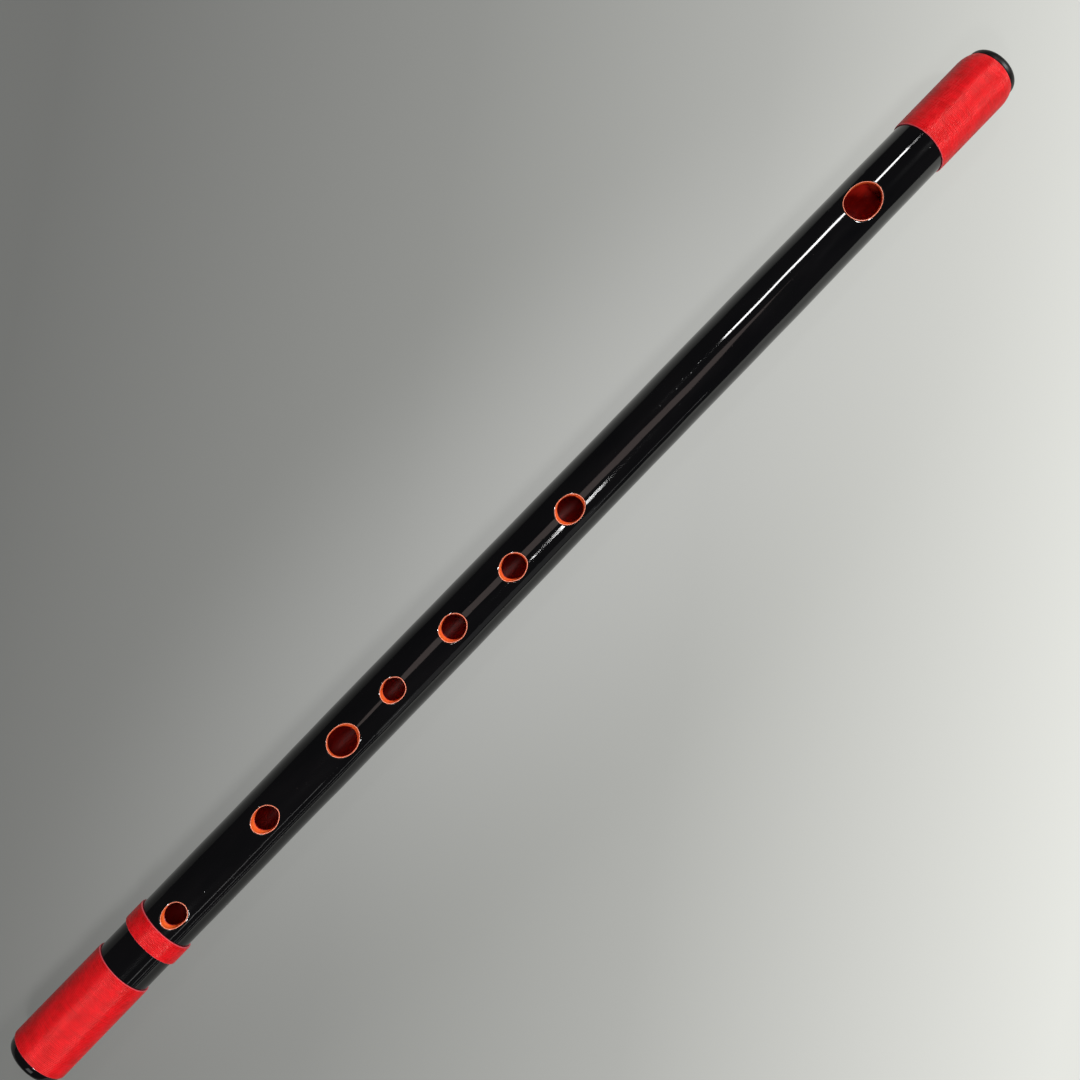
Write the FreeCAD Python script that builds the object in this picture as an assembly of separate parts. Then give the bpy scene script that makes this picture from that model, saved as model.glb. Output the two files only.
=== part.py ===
import FreeCAD, Part
import os

# Side-blown bamboo flute, lacquered and bound with thread. Millimetres.
# Every piece is built with x counted from the foot end along the tube's axis and the finger holes
# facing +Z, and is moved last, so that the flute lies on z = 0 with the middle of its length at x = 0.

# Overall sizes
speaking_length = 380.6        # foot end to the middle of the mouth hole
head_length = 69.9             # middle of the mouth hole to the head end
tube_diameter = 20.1           # over the lacquer, at mid-length
bore_diameter = 13.8           # inside the bore's lacquer

# Bamboo is never quite straight-sided: what the diameter gains or loses along the tube
foot_slimming = 0.65
foot_belly_at = 125.0
foot_belly_swelling = 0.05
waist_before_mouth = 110.0
waist_slimming = 0.05
head_belly_before_mouth = 35.0
head_belly_swelling = 0.2
head_slimming = 0.25
seat_run = 5.0                 # straight stretch between a swelling and the binding next to it

# Coats of lacquer
outer_coat = 0.25
bore_coat = 0.30
hole_coat = 0.30

# Ends of the tube
foot_lip_length = 3.0          # lacquered lip left bare by the foot binding, rounded to the end face
foot_lip_rounding = 1.3
shoulder_length = 4.5          # where the tube and its binding round over towards the head cap
shoulder_rounding = 1.0
rounding_share = 0.6           # the most of a wall's thickness that its rounding may take away
cap_length = 3.2               # what shows of the head cap
cap_rim_length = 0.8
cap_rounding = 1.8
cap_crown = 0.3
cap_spigot_length = 8.0

# Thread bindings: a height is how far the thread stands proud of the lacquer
binding_edge = 0.25            # rounding of every binding's end turns
foot_binding_length = 37.0
foot_binding_height = 0.55
ring_binding_length = 7.45
ring_binding_height = 0.7
ring_to_hole = 1.4             # lacquer left bare between the ring and the first finger hole
head_binding_length = 35.9
head_binding_height = 0.5
head_binding_thinning = 0.2    # thickness that the head binding loses over the shoulder

# What closes the bore beyond the mouth hole
mouth_to_seal = 13.0
seal_length = 3.0
stopper_length = 18.0
glue_gap = 0.05                # radial room for glue around the stopper, packing and cap

# Holes, from the foot: distance from the foot end, length along the tube, width across it, how far
# the hand-cut wall leans in on the foot side and on the head side by the time it meets the bore, and
# how far the hole strays to the +Y side of a straight line of holes
finger_holes = (
    (64.45, 9.2, 7.6, 1.0, 0.3, 0.0),
    (104.5, 9.9, 8.15, 1.2, 0.3, 0.5),
    (138.65, 11.4, 9.8, 0.2, 1.3, 0.15),
    (160.55, 8.85, 7.7, 1.0, 0.3, -0.05),
    (187.6, 9.8, 8.55, 1.3, 0.3, 0.0),
    (214.6, 10.1, 8.5, 1.4, 0.3, -0.3),
    (240.5, 10.85, 9.05, 1.5, 0.5, -0.5),
)
mouth_hole_length = 14.35
mouth_hole_width = 11.95
mouth_hole_foot_lean = 0.2
mouth_hole_head_lean = -1.0    # undercut on the head side, which frees the breath
mouth_hole_stray = 0.8
hole_side_lean = 0.3           # how far every hole's side walls lean in

# Worked out from the sizes above
flute_length = speaking_length + head_length
tube_radius = tube_diameter / 2
foot_radius = tube_radius - foot_slimming / 2
head_radius = tube_radius - head_slimming / 2
bore_radius = bore_diameter / 2
bamboo_bore_radius = bore_radius + bore_coat
plug_radius = bamboo_bore_radius - glue_gap
foot_lip_depth = min(foot_lip_rounding, rounding_share * (foot_radius - outer_coat - bamboo_bore_radius))
shoulder_depth = min(shoulder_rounding, rounding_share * (head_radius - outer_coat - bamboo_bore_radius))
tube_end = flute_length - cap_length
shoulder_start = tube_end - shoulder_length
head_binding_start = tube_end - head_binding_length
head_seat_start = head_binding_start - seat_run
first_hole_at, first_hole_length = finger_holes[0][:2]
ring_end = first_hole_at - first_hole_length / 2 - ring_to_hole
ring_start = ring_end - ring_binding_length
foot_seat_end = ring_end + seat_run
seal_face = speaking_length + mouth_to_seal
stopper_start = seal_face + seal_length
packing_start = stopper_start + stopper_length
spigot_start = tube_end - cap_spigot_length
cap_radius = head_radius - shoulder_depth + head_binding_height - head_binding_thinning
axis_height = max(
    foot_radius + foot_binding_height,
    foot_radius + ring_binding_height,
    head_radius + head_binding_height,
)
overshoot = 1.0                # how far a cutting tool runs past what it cuts
axis = FreeCAD.Vector(1, 0, 0)


def point(x, radius):
    """A point of a half outline: x along the tube, radius straight up from its axis."""
    return FreeCAD.Vector(x, 0, radius)


def line(start, end):
    """A straight stretch of an outline."""
    return Part.LineSegment(start, end).toShape()


def falling_arc(start, length, drop):
    """An arc that leaves start level and falls by drop over length."""
    radius = (length**2 + drop**2) / (2 * drop)
    middle_drop = radius - (radius**2 - (length / 2) ** 2) ** 0.5
    middle = start + point(length / 2, -middle_drop)
    return Part.Arc(start, middle, start + point(length, -drop)).toShape()


def corner_curve(centre, along, up, rising):
    """A quarter of an ellipse about centre: from the face of an end up to the side, or back down."""
    k = 0.5**0.5
    side = centre + point(0, up)
    face = centre + point(-along if rising else along, 0)
    middle = centre + point((-along if rising else along) * k, up * k)
    curve = Part.BSplineCurve()
    ends = (point(0, 1), point(1, 0)) if rising else (point(1, 0), point(0, -1))
    stops = (face, middle, side) if rising else (side, middle, face)
    curve.interpolate(Points=list(stops), InitialTangent=ends[0] * up, FinalTangent=ends[1] * along)
    return curve.toShape()


def turned(edges):
    """The solid that a closed half outline sweeps about the tube's axis."""
    face = Part.Face(Part.Wire(edges))
    return face.revolve(FreeCAD.Vector(0, 0, 0), axis, 360)


def side_curve(inset):
    """The tube's gentle swellings between its two straight seats."""
    stops = (
        (foot_seat_end, -foot_slimming),
        (foot_belly_at, foot_belly_swelling),
        (speaking_length - waist_before_mouth, -waist_slimming),
        (speaking_length - head_belly_before_mouth, head_belly_swelling),
        (head_seat_start, -head_slimming),
    )
    curve = Part.BSplineCurve()
    curve.interpolate(
        Points=[point(x, tube_radius + change / 2 - inset) for x, change in stops],
        InitialTangent=axis,
        FinalTangent=axis,
    )
    return curve.toShape()


def tube_body(inset):
    """The tube with no bore or holes: its lacquered outline, pulled in by inset."""
    face_radius = foot_radius - foot_lip_depth - inset
    lip_centre = point(foot_lip_length, face_radius)
    foot_side = point(foot_lip_length, foot_radius - inset)
    head_side = point(shoulder_start, head_radius - inset)
    end_radius = head_radius - shoulder_depth - inset
    return turned([
        line(point(inset, 0), point(inset, face_radius)),
        corner_curve(lip_centre, foot_lip_length - inset, foot_lip_depth, rising=True),
        line(foot_side, point(foot_seat_end, foot_radius - inset)),
        side_curve(inset),
        line(point(head_seat_start, head_radius - inset), head_side),
        falling_arc(head_side, shoulder_length, shoulder_depth),
        line(point(tube_end, end_radius), point(tube_end, 0)),
        line(point(tube_end, 0), point(inset, 0)),
    ])


def rod(radius, start, end):
    """A cylinder on the tube's axis."""
    return Part.makeCylinder(radius, end - start, point(start, 0), axis)


def oval(centre, along, across):
    """A level ellipse: a unit circle stretched along and across the tube."""
    stretch = FreeCAD.Matrix()
    stretch.scale(along, across, 1)
    stretch.move(centre)
    return Part.Wire(Part.makeCircle(1).transformGeometry(stretch))


def hole_tool(hole, growth):
    """The space of one hole, grown sideways by growth: two ovals joined by a leaning wall."""
    x, length, width, foot_lean, head_lean, stray = hole
    wall = tube_radius - bore_radius
    sections = []
    for height in (bore_radius / 2, tube_radius + overshoot):
        depth = (tube_radius - height) / wall
        low = x - length / 2 + foot_lean * depth - growth
        high = x + length / 2 - head_lean * depth + growth
        across = width / 2 - hole_side_lean * depth + growth
        centre = FreeCAD.Vector((low + high) / 2, stray, height)
        sections.append(oval(centre, (high - low) / 2, across))
    return Part.makeLoft(sections, True, True)


def all_holes():
    """Every hole by the name of its coat, from the foot to the mouth hole."""
    holes = {f"finger_hole_{i}_coat": hole for i, hole in enumerate(finger_holes, start=1)}
    size = (mouth_hole_length, mouth_hole_width)
    lean = (mouth_hole_foot_lean, mouth_hole_head_lean)
    holes["mouth_hole_coat"] = (speaking_length, *size, *lean, mouth_hole_stray)
    return holes


def without_holes(shape, growth):
    """The shape with every hole cut out, grown sideways by growth to leave room for its coat."""
    return shape.cut([hole_tool(hole, growth) for hole in all_holes().values()])


def bamboo_tube():
    """The culm: bored through from end to end, with eight holes along its top."""
    bore = rod(bamboo_bore_radius, -overshoot, flute_length)
    return without_holes(tube_body(outer_coat).cut(bore), hole_coat)


def outer_lacquer():
    """The black coat over the culm's side and foot end; it stops at the head cap."""
    bore = rod(bore_radius, -overshoot, outer_coat + overshoot)
    return without_holes(tube_body(0).cut([tube_body(outer_coat), bore]), hole_coat)


def bore_lacquer():
    """The red lining of the bore, from the foot end to the seal; it carries the holes' coats."""
    lining = rod(bamboo_bore_radius, outer_coat, seal_face)
    return without_holes(lining.cut(rod(bore_radius, 0, seal_face + overshoot)), 0)


def hole_coat_ring(hole):
    """The red coat on one hole's wall, from the bore's lining to the lacquer outside, flush with it."""
    ring = hole_tool(hole, hole_coat).cut(hole_tool(hole, 0))
    wall = tube_body(0).cut(rod(bamboo_bore_radius, 0, stopper_start))
    return ring.common(wall)


def straight_binding(start, length, height):
    """A sleeve of close-wound thread on the foot's straight seat, with rounded end turns."""
    end = start + length
    top = foot_radius + height
    shoulder = top - binding_edge
    return turned([
        line(point(start, foot_radius), point(start, shoulder)),
        corner_curve(point(start + binding_edge, shoulder), binding_edge, binding_edge, rising=True),
        line(point(start + binding_edge, top), point(end - binding_edge, top)),
        corner_curve(point(end - binding_edge, shoulder), binding_edge, binding_edge, rising=False),
        line(point(end, shoulder), point(end, foot_radius)),
        line(point(end, foot_radius), point(start, foot_radius)),
    ])


def head_binding():
    """The head's sleeve of thread, which follows the shoulder down to the cap and thins there."""
    start = head_binding_start
    top = head_radius + head_binding_height
    edge = point(start + binding_edge, top - binding_edge)
    bend = point(shoulder_start, head_radius)
    outer_drop = shoulder_depth + head_binding_thinning
    return turned([
        line(point(start, head_radius), point(start, top - binding_edge)),
        corner_curve(edge, binding_edge, binding_edge, rising=True),
        line(point(start + binding_edge, top), point(shoulder_start, top)),
        falling_arc(point(shoulder_start, top), shoulder_length, outer_drop),
        line(point(tube_end, cap_radius), point(tube_end, head_radius - shoulder_depth)),
        falling_arc(bend, shoulder_length, shoulder_depth),
        line(bend, point(start, head_radius)),
    ])


def head_cap():
    """A turned wooden cap: a low crowned head over the tube's end and a spigot glued in its bore."""
    corner_along = cap_length - cap_rim_length - cap_crown
    flat_radius = cap_radius - cap_rounding
    corner = point(tube_end + cap_rim_length, flat_radius)
    crown_edge = point(flute_length - cap_crown, flat_radius)
    ball_radius = (flat_radius**2 + cap_crown**2) / (2 * cap_crown)
    slope_radius = flat_radius / 2
    slope_drop = ball_radius - (ball_radius**2 - slope_radius**2) ** 0.5
    crown_slope = point(flute_length - slope_drop, slope_radius)
    head = turned([
        line(point(tube_end, 0), point(tube_end, cap_radius)),
        line(point(tube_end, cap_radius), point(tube_end + cap_rim_length, cap_radius)),
        corner_curve(corner, corner_along, cap_rounding, rising=False),
        Part.Arc(crown_edge, crown_slope, point(flute_length, 0)).toShape(),
        line(point(flute_length, 0), point(tube_end, 0)),
    ])
    return head.fuse(rod(plug_radius, spigot_start, tube_end)).removeSplitter()


def all_pieces():
    """Every piece by name, still counted from the foot end."""
    pieces = {
        "bamboo_tube": bamboo_tube(),
        "outer_lacquer": outer_lacquer(),
        "bore_lacquer": bore_lacquer(),
        "foot_binding": straight_binding(foot_lip_length, foot_binding_length, foot_binding_height),
        "ring_binding": straight_binding(ring_start, ring_binding_length, ring_binding_height),
        "head_binding": head_binding(),
        "wax_seal": rod(bamboo_bore_radius, seal_face, stopper_start),
        "head_stopper": rod(plug_radius, stopper_start, packing_start),
        "head_packing": rod(plug_radius, packing_start, spigot_start),
        "head_cap": head_cap(),
    }
    for name, hole in all_holes().items():
        pieces[name] = hole_coat_ring(hole)
    return pieces


def main():
    """Move every piece into the flute's resting place and write it out."""
    os.makedirs("parts", exist_ok=True)
    resting_place = FreeCAD.Vector(-flute_length / 2, 0, axis_height)
    for name, shape in all_pieces().items():
        shape.translate(resting_place)
        box = shape.BoundBox
        print(
            f"{name:22s} solids {len(shape.Solids)} valid {shape.isValid()} volume {shape.Volume:9.1f}"
            f"  x {box.XMin:8.2f} {box.XMax:8.2f}  z {box.ZMin:6.2f} {box.ZMax:6.2f}"
        )
        shape.exportStep(f"parts/{name}.step")


main()
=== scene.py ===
"""Looks of a side-blown bamboo flute: black lacquer, vermilion holes and bore, red thread bindings.

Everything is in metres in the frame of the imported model: X runs along the tube from the open foot end
to the capped head, Z rises through the holes, and the flute lies on z = 0. Sizes that a maker would
quote are written in millimetres, and MM turns them to metres.
"""

import logging
import math
from dataclasses import dataclass, field
from enum import Enum
from typing import Any

import bpy
import numpy as np
from bpy.types import Material, Node, NodeSocket, NodeTree, Object
from mathutils import Matrix, Vector


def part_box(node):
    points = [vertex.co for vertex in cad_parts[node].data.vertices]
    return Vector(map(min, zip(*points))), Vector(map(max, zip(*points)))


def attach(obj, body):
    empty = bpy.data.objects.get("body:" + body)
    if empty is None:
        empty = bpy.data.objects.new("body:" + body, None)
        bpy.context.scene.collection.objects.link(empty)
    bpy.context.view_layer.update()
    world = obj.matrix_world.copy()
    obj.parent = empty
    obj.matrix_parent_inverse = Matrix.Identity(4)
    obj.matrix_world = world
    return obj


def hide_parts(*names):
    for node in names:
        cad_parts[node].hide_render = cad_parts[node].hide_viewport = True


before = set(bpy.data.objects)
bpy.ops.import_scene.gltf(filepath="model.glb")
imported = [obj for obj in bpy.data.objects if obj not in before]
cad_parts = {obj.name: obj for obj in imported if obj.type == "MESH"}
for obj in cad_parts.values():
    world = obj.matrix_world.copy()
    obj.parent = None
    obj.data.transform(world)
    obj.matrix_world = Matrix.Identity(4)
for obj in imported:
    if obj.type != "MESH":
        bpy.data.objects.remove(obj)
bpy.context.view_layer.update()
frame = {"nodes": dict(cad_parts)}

MM = 0.001
BODY = "root"
FULL_TURN = 2.0 * math.pi

Triple = tuple[float, float, float]

log = logging.getLogger("flute")


# --- Numbers and colours


def linear_colour(hex_code: str) -> tuple[float, float, float, float]:
    """Turns an sRGB hex colour into the linear colour that shaders read.

    Args:
        hex_code: a colour such as "#C8101C".

    Returns:
        Red, green, blue and alpha, linear, each from 0 to 1.
    """
    channels = (int(hex_code[i : i + 2], 16) / 255.0 for i in (1, 3, 5))
    red, green, blue = (c / 12.92 if c <= 0.04045 else ((c + 0.055) / 1.055) ** 2.4 for c in channels)
    return (red, green, blue, 1.0)


def waves(x: np.ndarray, turn: np.ndarray, rng: np.random.Generator, lengths: tuple[float, ...],
          height: float) -> np.ndarray:
    """A smooth seeded undulation over a tube's side.

    Formula: the sum over each wavelength L of height * cos(2 pi x / L + m turn + phase), where m is a
    whole number of lobes about the tube and the phase is drawn at random, over the root of the count.

    Args:
        x: distance along the tube, in millimetres.
        turn: angle about the tube, in radians.
        rng: the seeded generator that draws lobes and phases.
        lengths: the wavelengths along the tube, in millimetres.
        height: the size of each wave, in millimetres.

    Returns:
        The undulation at each point, in millimetres.
    """
    total = np.zeros(np.broadcast(x, turn).shape)
    for length in lengths:
        lobes = int(rng.integers(1, 4))
        phase = rng.uniform(0.0, FULL_TURN)
        total = total + height * np.cos(FULL_TURN * x / length + lobes * turn + phase)
    return total / math.sqrt(len(lengths))


def clamped_spline(stops: np.ndarray, values: np.ndarray, x: np.ndarray) -> np.ndarray:
    """The smooth curve through stops that is level at both ends.

    Formula: a cubic on each span whose slopes make the second derivative continuous, with slope 0 at
    the first and the last stop; the slopes come from one tridiagonal system.

    Args:
        stops: increasing distances.
        values: the height at each stop.
        x: where to read the curve; outside the stops it keeps the end value.

    Returns:
        The curve's height at x.
    """
    gaps = np.diff(stops)
    rises = np.diff(values) / gaps
    count = len(stops)
    system = np.eye(count)
    right = np.zeros(count)
    inner = np.arange(1, count - 1)
    system[inner, inner - 1] = gaps[1:]
    system[inner, inner] = 2.0 * (gaps[:-1] + gaps[1:])
    system[inner, inner + 1] = gaps[:-1]
    right[inner] = 3.0 * (gaps[1:] * rises[:-1] + gaps[:-1] * rises[1:])
    slopes = np.linalg.solve(system, right)
    x = np.clip(x, stops[0], stops[-1])
    span = np.clip(np.searchsorted(stops, x, side="right") - 1, 0, count - 2)
    t = (x - stops[span]) / gaps[span]
    low, high = values[span], values[span + 1]
    tension = slopes[span] * gaps[span] * (1 - t) - slopes[span + 1] * gaps[span] * t
    bend = (low - high) * (2 * t - 1)
    return low * (1 - t) + high * t + t * (1 - t) * (tension + bend)


# --- Meshes


@dataclass
class Surface:
    """A mesh in the making: points in metres, faces, and values that ride on the points or corners."""

    points: np.ndarray
    faces: list[np.ndarray]
    values: dict[str, np.ndarray] = field(default_factory=dict)
    corner_uv: np.ndarray | None = None

    def to_object(self, name: str) -> Object:
        """Writes the surface into a smooth-shaded mesh object at the origin.

        Args:
            name: the piece's name.

        Returns:
            The new object, linked to the scene.
        """
        mesh = bpy.data.meshes.new(name)
        corners = np.concatenate([f.ravel() for f in self.faces]).astype(np.int32)
        sizes = np.concatenate([np.full(len(f), f.shape[1]) for f in self.faces])
        starts = np.concatenate([[0], np.cumsum(sizes)[:-1]]).astype(np.int32)
        mesh.vertices.add(len(self.points))
        mesh.vertices.foreach_set("co", self.points.astype(np.float32).ravel())
        mesh.loops.add(len(corners))
        mesh.loops.foreach_set("vertex_index", corners)
        mesh.polygons.add(len(sizes))
        mesh.polygons.foreach_set("loop_start", starts)
        mesh.update(calc_edges=True)
        mesh.polygons.foreach_set("use_smooth", np.ones(len(sizes), bool))
        for key, value in self.values.items():
            layer = mesh.attributes.new(key, "FLOAT", "POINT")
            layer.data.foreach_set("value", value.astype(np.float32).ravel())
        if self.corner_uv is not None:
            uv = mesh.uv_layers.new(name="along_and_around")
            uv.data.foreach_set("uv", self.corner_uv.astype(np.float32).ravel())
        mesh.validate()
        piece = bpy.data.objects.new(name, mesh)
        bpy.context.scene.collection.objects.link(piece)
        return piece


def grid_faces(rows: int, columns: int, wrap_rows: bool, wrap_columns: bool) -> np.ndarray:
    """The four corners of every cell of a grid of points.

    Args:
        rows: how many rows of points.
        columns: how many points in a row.
        wrap_rows: whether the last row joins the first.
        wrap_columns: whether each row closes on itself.

    Returns:
        An array of quads that turn from a row towards the next column, then the next row.
    """
    i, j = np.meshgrid(
        np.arange(rows if wrap_rows else rows - 1),
        np.arange(columns if wrap_columns else columns - 1),
        indexing="ij",
    )
    i, j = i.ravel(), j.ravel()
    below, right = (i + 1) % rows, (j + 1) % columns
    return np.stack([i * columns + j, i * columns + right, below * columns + right, below * columns + j],
                    axis=1)


def add_shell(piece: Object, thickness: float) -> None:
    """Gives an open skin its wall, behind the side that its faces point to, with closed rims.

    Args:
        piece: the skin.
        thickness: the wall in metres.
    """
    wall = piece.modifiers.new("coat", "SOLIDIFY")
    wall.thickness = thickness
    wall.offset = -1.0
    wall.use_rim = True


# --- Node materials


def add_node(tree: NodeTree, kind: str, settings: dict[str, Any] | None = None,
             links: dict[Any, NodeSocket] | None = None) -> Node:
    """Adds a node with its settings and links.

    Args:
        tree: the material's or world's nodes.
        kind: the node's type, as Blender names it after ShaderNode.
        settings: values by property name, or by input name or number; "stops" are a ramp's places from
            0 to 1 with their hex colours, in order.
        links: the output that feeds each input, by the input's name or number.

    Returns:
        The new node.
    """
    node = tree.nodes.new("ShaderNode" + kind)
    for key, value in (settings or {}).items():
        if key == "stops":
            elements = node.color_ramp.elements
            while len(elements) < len(value):
                elements.new(0.5)
            for element, (place, colour) in zip(elements, value):
                element.position = place
                element.color = linear_colour(colour)
        elif isinstance(key, str) and key in node.bl_rna.properties and key not in node.inputs:
            setattr(node, key, value)
        else:
            node.inputs[key].default_value = value
    for key, output in (links or {}).items():
        tree.links.new(output, node.inputs[key])
    return node


def new_material(name: str) -> tuple[Material, NodeTree]:
    """Starts an empty node material.

    Args:
        name: the finish's name.

    Returns:
        The material and its node tree.
    """
    material = bpy.data.materials.new(name)
    material.use_nodes = True
    material.node_tree.nodes.clear()
    return material, material.node_tree


def finish_shader(tree: NodeTree, settings: dict[str, Any],
                  links: dict[Any, NodeSocket], relief: NodeSocket,
                  depth_mm: float, strength: float = 1.0) -> None:
    """Ends a material with its relief, its shader and its output.

    Args:
        tree: the material's nodes.
        settings: the shader's uniform values.
        links: what feeds its other sockets.
        relief: the output that gives the relief's height.
        depth_mm: how far a height of 1 stands out, in millimetres.
        strength: how much of the relief shows, up to 1.
    """
    bump = add_node(tree, "Bump", {"Strength": strength, "Distance": depth_mm * MM}, {"Height": relief})
    shader = add_node(tree, "BsdfPrincipled", settings, {**links, "Normal": bump.outputs["Normal"]})
    add_node(tree, "OutputMaterial", links={"Surface": shader.outputs["BSDF"]})


def object_noise(tree: NodeTree, size_mm: Triple, detail: float = 2.0,
                 roughness: float = 0.5) -> NodeSocket:
    """Noise on object coordinates whose blotches have a real size.

    Args:
        tree: the nodes it joins.
        size_mm: the size of one blotch along X, Y and Z, in millimetres.
        detail: how many finer layers ride on it.
        roughness: how strong those layers are.

    Returns:
        The noise's value output, from about 0 to 1.
    """
    place = add_node(tree, "TexCoord")
    scale = add_node(tree, "Mapping",
                     {"Scale": tuple(1.0 / (s * MM) for s in size_mm)},
                     {"Vector": place.outputs["Object"]})
    noise = add_node(tree, "TexNoise", {"Scale": 1.0, "Detail": detail, "Roughness": roughness},
                     {"Vector": scale.outputs["Vector"]})
    return noise.outputs["Fac"]


@dataclass(frozen=True)
class BlackLacquer:
    """Tree lacquer, brushed on in many coats and polished: a deep black mirror.

    The eye sees almost no body colour, only the sharp reflection of lamps, which the brushed coats'
    faint waves bend, and a few specks of dust under the last coat.
    """

    name: str = "black_lacquer"
    deep: str = "#040405"
    worn: str = "#0A090A"
    refraction: float = 1.54
    roughness: float = 0.045
    rubbed_roughness: float = 0.10
    brush_wave_mm: Triple = (38.0, 2.6, 2.6)
    speck_mm: float = 1.1
    speck_range: tuple[float, float] = (0.80, 0.86)
    speck_height: float = 0.35
    fine_wave_mm: Triple = (4.0, 1.5, 1.5)
    wave_depth_mm: float = 0.03
    ripple_share: float = 0.2
    rubbed_mm: Triple = (30.0, 8.0, 8.0)
    rubbed_range: tuple[float, float] = (0.45, 0.75)

    def material(self) -> Material:
        """Builds the finish.

        Returns:
            The material.
        """
        material, tree = new_material(self.name)
        wave = object_noise(tree, self.brush_wave_mm, detail=1.0)
        ripple = object_noise(tree, self.fine_wave_mm, detail=0.0)
        swell = add_node(tree, "Math", {"operation": "MULTIPLY_ADD", 1: self.ripple_share},
                         {0: ripple, 2: wave})
        speck = object_noise(tree, (self.speck_mm,) * 3, detail=0.0)
        dust = add_node(tree, "MapRange",
                        {"From Min": self.speck_range[0], "From Max": self.speck_range[1],
                         "To Min": 0.0, "To Max": self.speck_height}, {"Value": speck})
        relief = add_node(tree, "Math", {"operation": "ADD"},
                          {0: swell.outputs[0], 1: dust.outputs[0]})
        rubbed = object_noise(tree, self.rubbed_mm, detail=3.0)
        rough = add_node(tree, "MapRange",
                         {"From Min": self.rubbed_range[0], "From Max": self.rubbed_range[1],
                          "To Min": self.roughness, "To Max": self.rubbed_roughness}, {"Value": rubbed})
        colour = add_node(tree, "ValToRGB", {"stops": ((0.35, self.deep), (0.8, self.worn))},
                          {"Fac": rubbed})
        finish_shader(tree, {"IOR": self.refraction},
                      {"Base Color": colour.outputs["Color"], "Roughness": rough.outputs[0]},
                      relief.outputs[0], self.wave_depth_mm)
        return material


@dataclass(frozen=True)
class VermilionLacquer:
    """Vermilion in lacquer, poured through the bore and left as it sets: a deep satin red."""

    name: str = "red_lacquer"
    bright: str = "#C8261A"
    dark: str = "#A81C14"
    refraction: float = 1.52
    roughness: float = 0.34
    run_mm: Triple = (25.0, 2.5, 2.5)
    run_depth_mm: float = 0.02

    def material(self) -> Material:
        """Builds the finish.

        Returns:
            The material.
        """
        material, tree = new_material(self.name)
        runs = object_noise(tree, self.run_mm, detail=2.0)
        colour = add_node(tree, "ValToRGB", {"stops": ((0.3, self.dark), (0.7, self.bright))},
                          {"Fac": runs})
        finish_shader(tree, {"IOR": self.refraction, "Roughness": self.roughness},
                      {"Base Color": colour.outputs["Color"]}, runs, self.run_depth_mm)
        return material


@dataclass(frozen=True)
class HoleVermilion:
    """Vermilion brushed on a hand-cut wall: orange-red over knife marks, with a paler painted highlight
    on its rim.
    """

    name: str = "hole_red"
    wall: str = "#FF5E20"
    thin: str = "#FF8440"
    # painted highlight: the paler colour given to the crest of the rim
    rim: str = "#F09880"
    refraction: float = 1.52
    roughness: float = 0.30
    knife_mark_mm: Triple = (0.35, 0.35, 4.0)
    mark_depth_mm: float = 0.03

    def material(self) -> Material:
        """Builds the finish. The marks run down the wall, so they are stretched along Z.

        Returns:
            The material.
        """
        material, tree = new_material(self.name)
        marks = object_noise(tree, self.knife_mark_mm, detail=2.0)
        body = add_node(tree, "ValToRGB", {"stops": ((0.3, self.wall), (0.75, self.thin))},
                        {"Fac": marks})
        # painted highlight: this mask mixes the paler rim colour in over the crest of the rim
        rim = add_node(tree, "Attribute", {"attribute_name": "rim"})
        colour = add_node(tree, "Mix", {"data_type": "RGBA", 7: linear_colour(self.rim)},
                          {0: rim.outputs["Fac"], 6: body.outputs["Color"]})
        finish_shader(tree, {"IOR": self.refraction, "Roughness": self.roughness},
                      {"Base Color": colour.outputs[2]}, marks, self.mark_depth_mm)
        return material


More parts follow.
